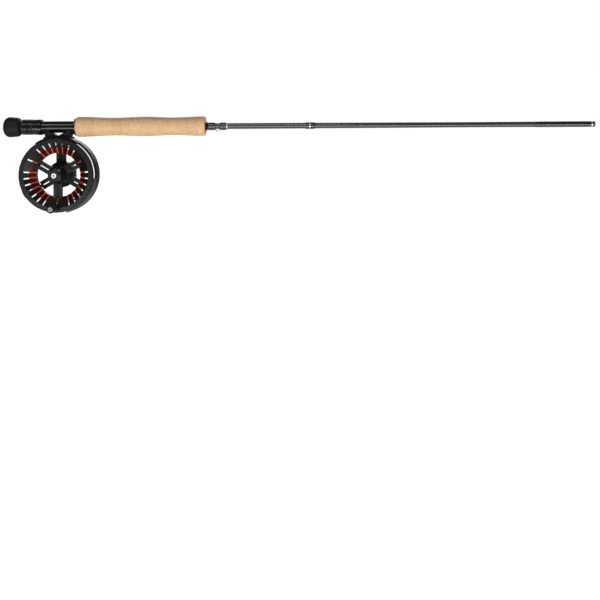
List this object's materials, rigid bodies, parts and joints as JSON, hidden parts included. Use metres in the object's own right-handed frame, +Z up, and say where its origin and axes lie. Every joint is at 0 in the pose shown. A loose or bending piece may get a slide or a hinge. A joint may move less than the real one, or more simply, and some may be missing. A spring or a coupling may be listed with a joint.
{
  "type": "fly rod butt section with fly reel",
  "caption": "Butt section of a fly rod with cork grip, screw-locked reel seat and a slotted large-arbor fly reel.",
  "frame": {"origin": "on the rod's axis, in the middle of the cork grip, where a hand holds it", "axes": "+X along the rod towards its tip, +Z up with the reel hanging below, -Y the handle side of the reel"},
  "size_m": [0.806, 0.0716, 0.1306],
  "materials": {
    "carbon_blank": "satin varnish over carbon fibre",
    "rubber": "matt moulded",
    "black_anodised": "turned and anodised black",
    "red_anodised": "turned and anodised red",
    "bright_steel": "stainless steel, bright",
    "nylon": "moulded nylon",
    "cork": "sanded natural cork",
    "thread_wrap": "nylon thread under gloss varnish",
    "metallic_thread": "metallic thread under varnish",
    "carbon_disc": "carbon-fibre friction disc",
    "white_enamel": "enamelled ring",
    "brass": "turned brass"
  },
  "bodies": {
    "rod": {"blank": "carbon_blank", "fighting_butt": "rubber", "butt_plug": "black_anodised", "seat_tube": "black_anodised", "seat_bushing_rear": "nylon", "seat_bushing_front": "nylon", "front_hood": "black_anodised", "cork_rings": "cork", "winding_check": "black_anodised", "keeper_wrap_rear": "thread_wrap", "hook_keeper": "bright_steel", "keeper_wrap_front": "thread_wrap", "keeper_trim": "metallic_thread", "mid_wrap": "thread_wrap", "mid_trim": "metallic_thread", "ferrule_wrap": "thread_wrap", "ferrule_band": "metallic_thread", "reel_foot": "black_anodised", "foot_screws": "bright_steel", "reel_frame": "black_anodised", "line_guard": "black_anodised", "guard_screws": "bright_steel", "spindle": "bright_steel", "drag_housing": "black_anodised", "drag_seal": "rubber", "drag_sleeve": "bright_steel", "drag_discs": "carbon_disc", "drag_plates": "bright_steel", "drag_spring": "bright_steel", "knob_screw": "bright_steel"},
    "hood": {"sliding_hood": "black_anodised", "hood_washer": "nylon"},
    "lock_nut_body": {"lock_nut": "black_anodised"},
    "jam_nut_body": {"jam_nut": "black_anodised"},
    "spool_body": {"spool": "black_anodised", "spool_arbor": "red_anodised", "rear_flange": "black_anodised", "bearing_front": "bright_steel", "bearing_rear": "bright_steel", "one_way_clutch": "bright_steel", "hub_cap": "black_anodised", "cap_badge": "white_enamel", "handle_spindle": "bright_steel", "handle_screw": "bright_steel", "counterweight": "brass"},
    "handle_body": {"handle_knob": "rubber"},
    "drag_knob_body": {"drag_knob": "black_anodised"}
  },
  "joints": [
    {"name": "spool_spin", "type": "hinge", "parent": "rod", "child": "spool_body", "pos_m": [-0.1116, 0, -0.0653], "axis": [0, 1, 0], "continuous": true},
    {"name": "handle_spin", "type": "hinge", "parent": "spool_body", "child": "handle_body", "pos_m": [-0.1116, -0.03145, -0.1088], "axis": [0, 1, 0], "continuous": true},
    {"name": "drag_knob_turn", "type": "hinge", "parent": "rod", "child": "drag_knob_body", "pos_m": [-0.1116, 0.0215, -0.0653], "axis": [0, 1, 0], "range_deg": [0, 330]},
    {"name": "hood_slide", "type": "slide", "parent": "rod", "child": "hood", "axis": [-1, 0, 0], "range_m": [0, 0.0022]},
    {"name": "lock_nut_turn", "type": "hinge", "parent": "hood", "child": "lock_nut_body", "pos_m": [-0.14975, 0, 0], "axis": [1, 0, 0], "range_deg": [0, 530]},
    {"name": "jam_nut_turn", "type": "hinge", "parent": "hood", "child": "jam_nut_body", "pos_m": [-0.1567, 0, 0], "axis": [1, 0, 0], "range_deg": [0, 530]}
  ],
  "couplings": [
    {"joint": "lock_nut_turn", "follows": "hood_slide", "rad_per_m": 4188.8},
    {"joint": "jam_nut_turn", "follows": "hood_slide", "rad_per_m": 4188.8}
  ]
}
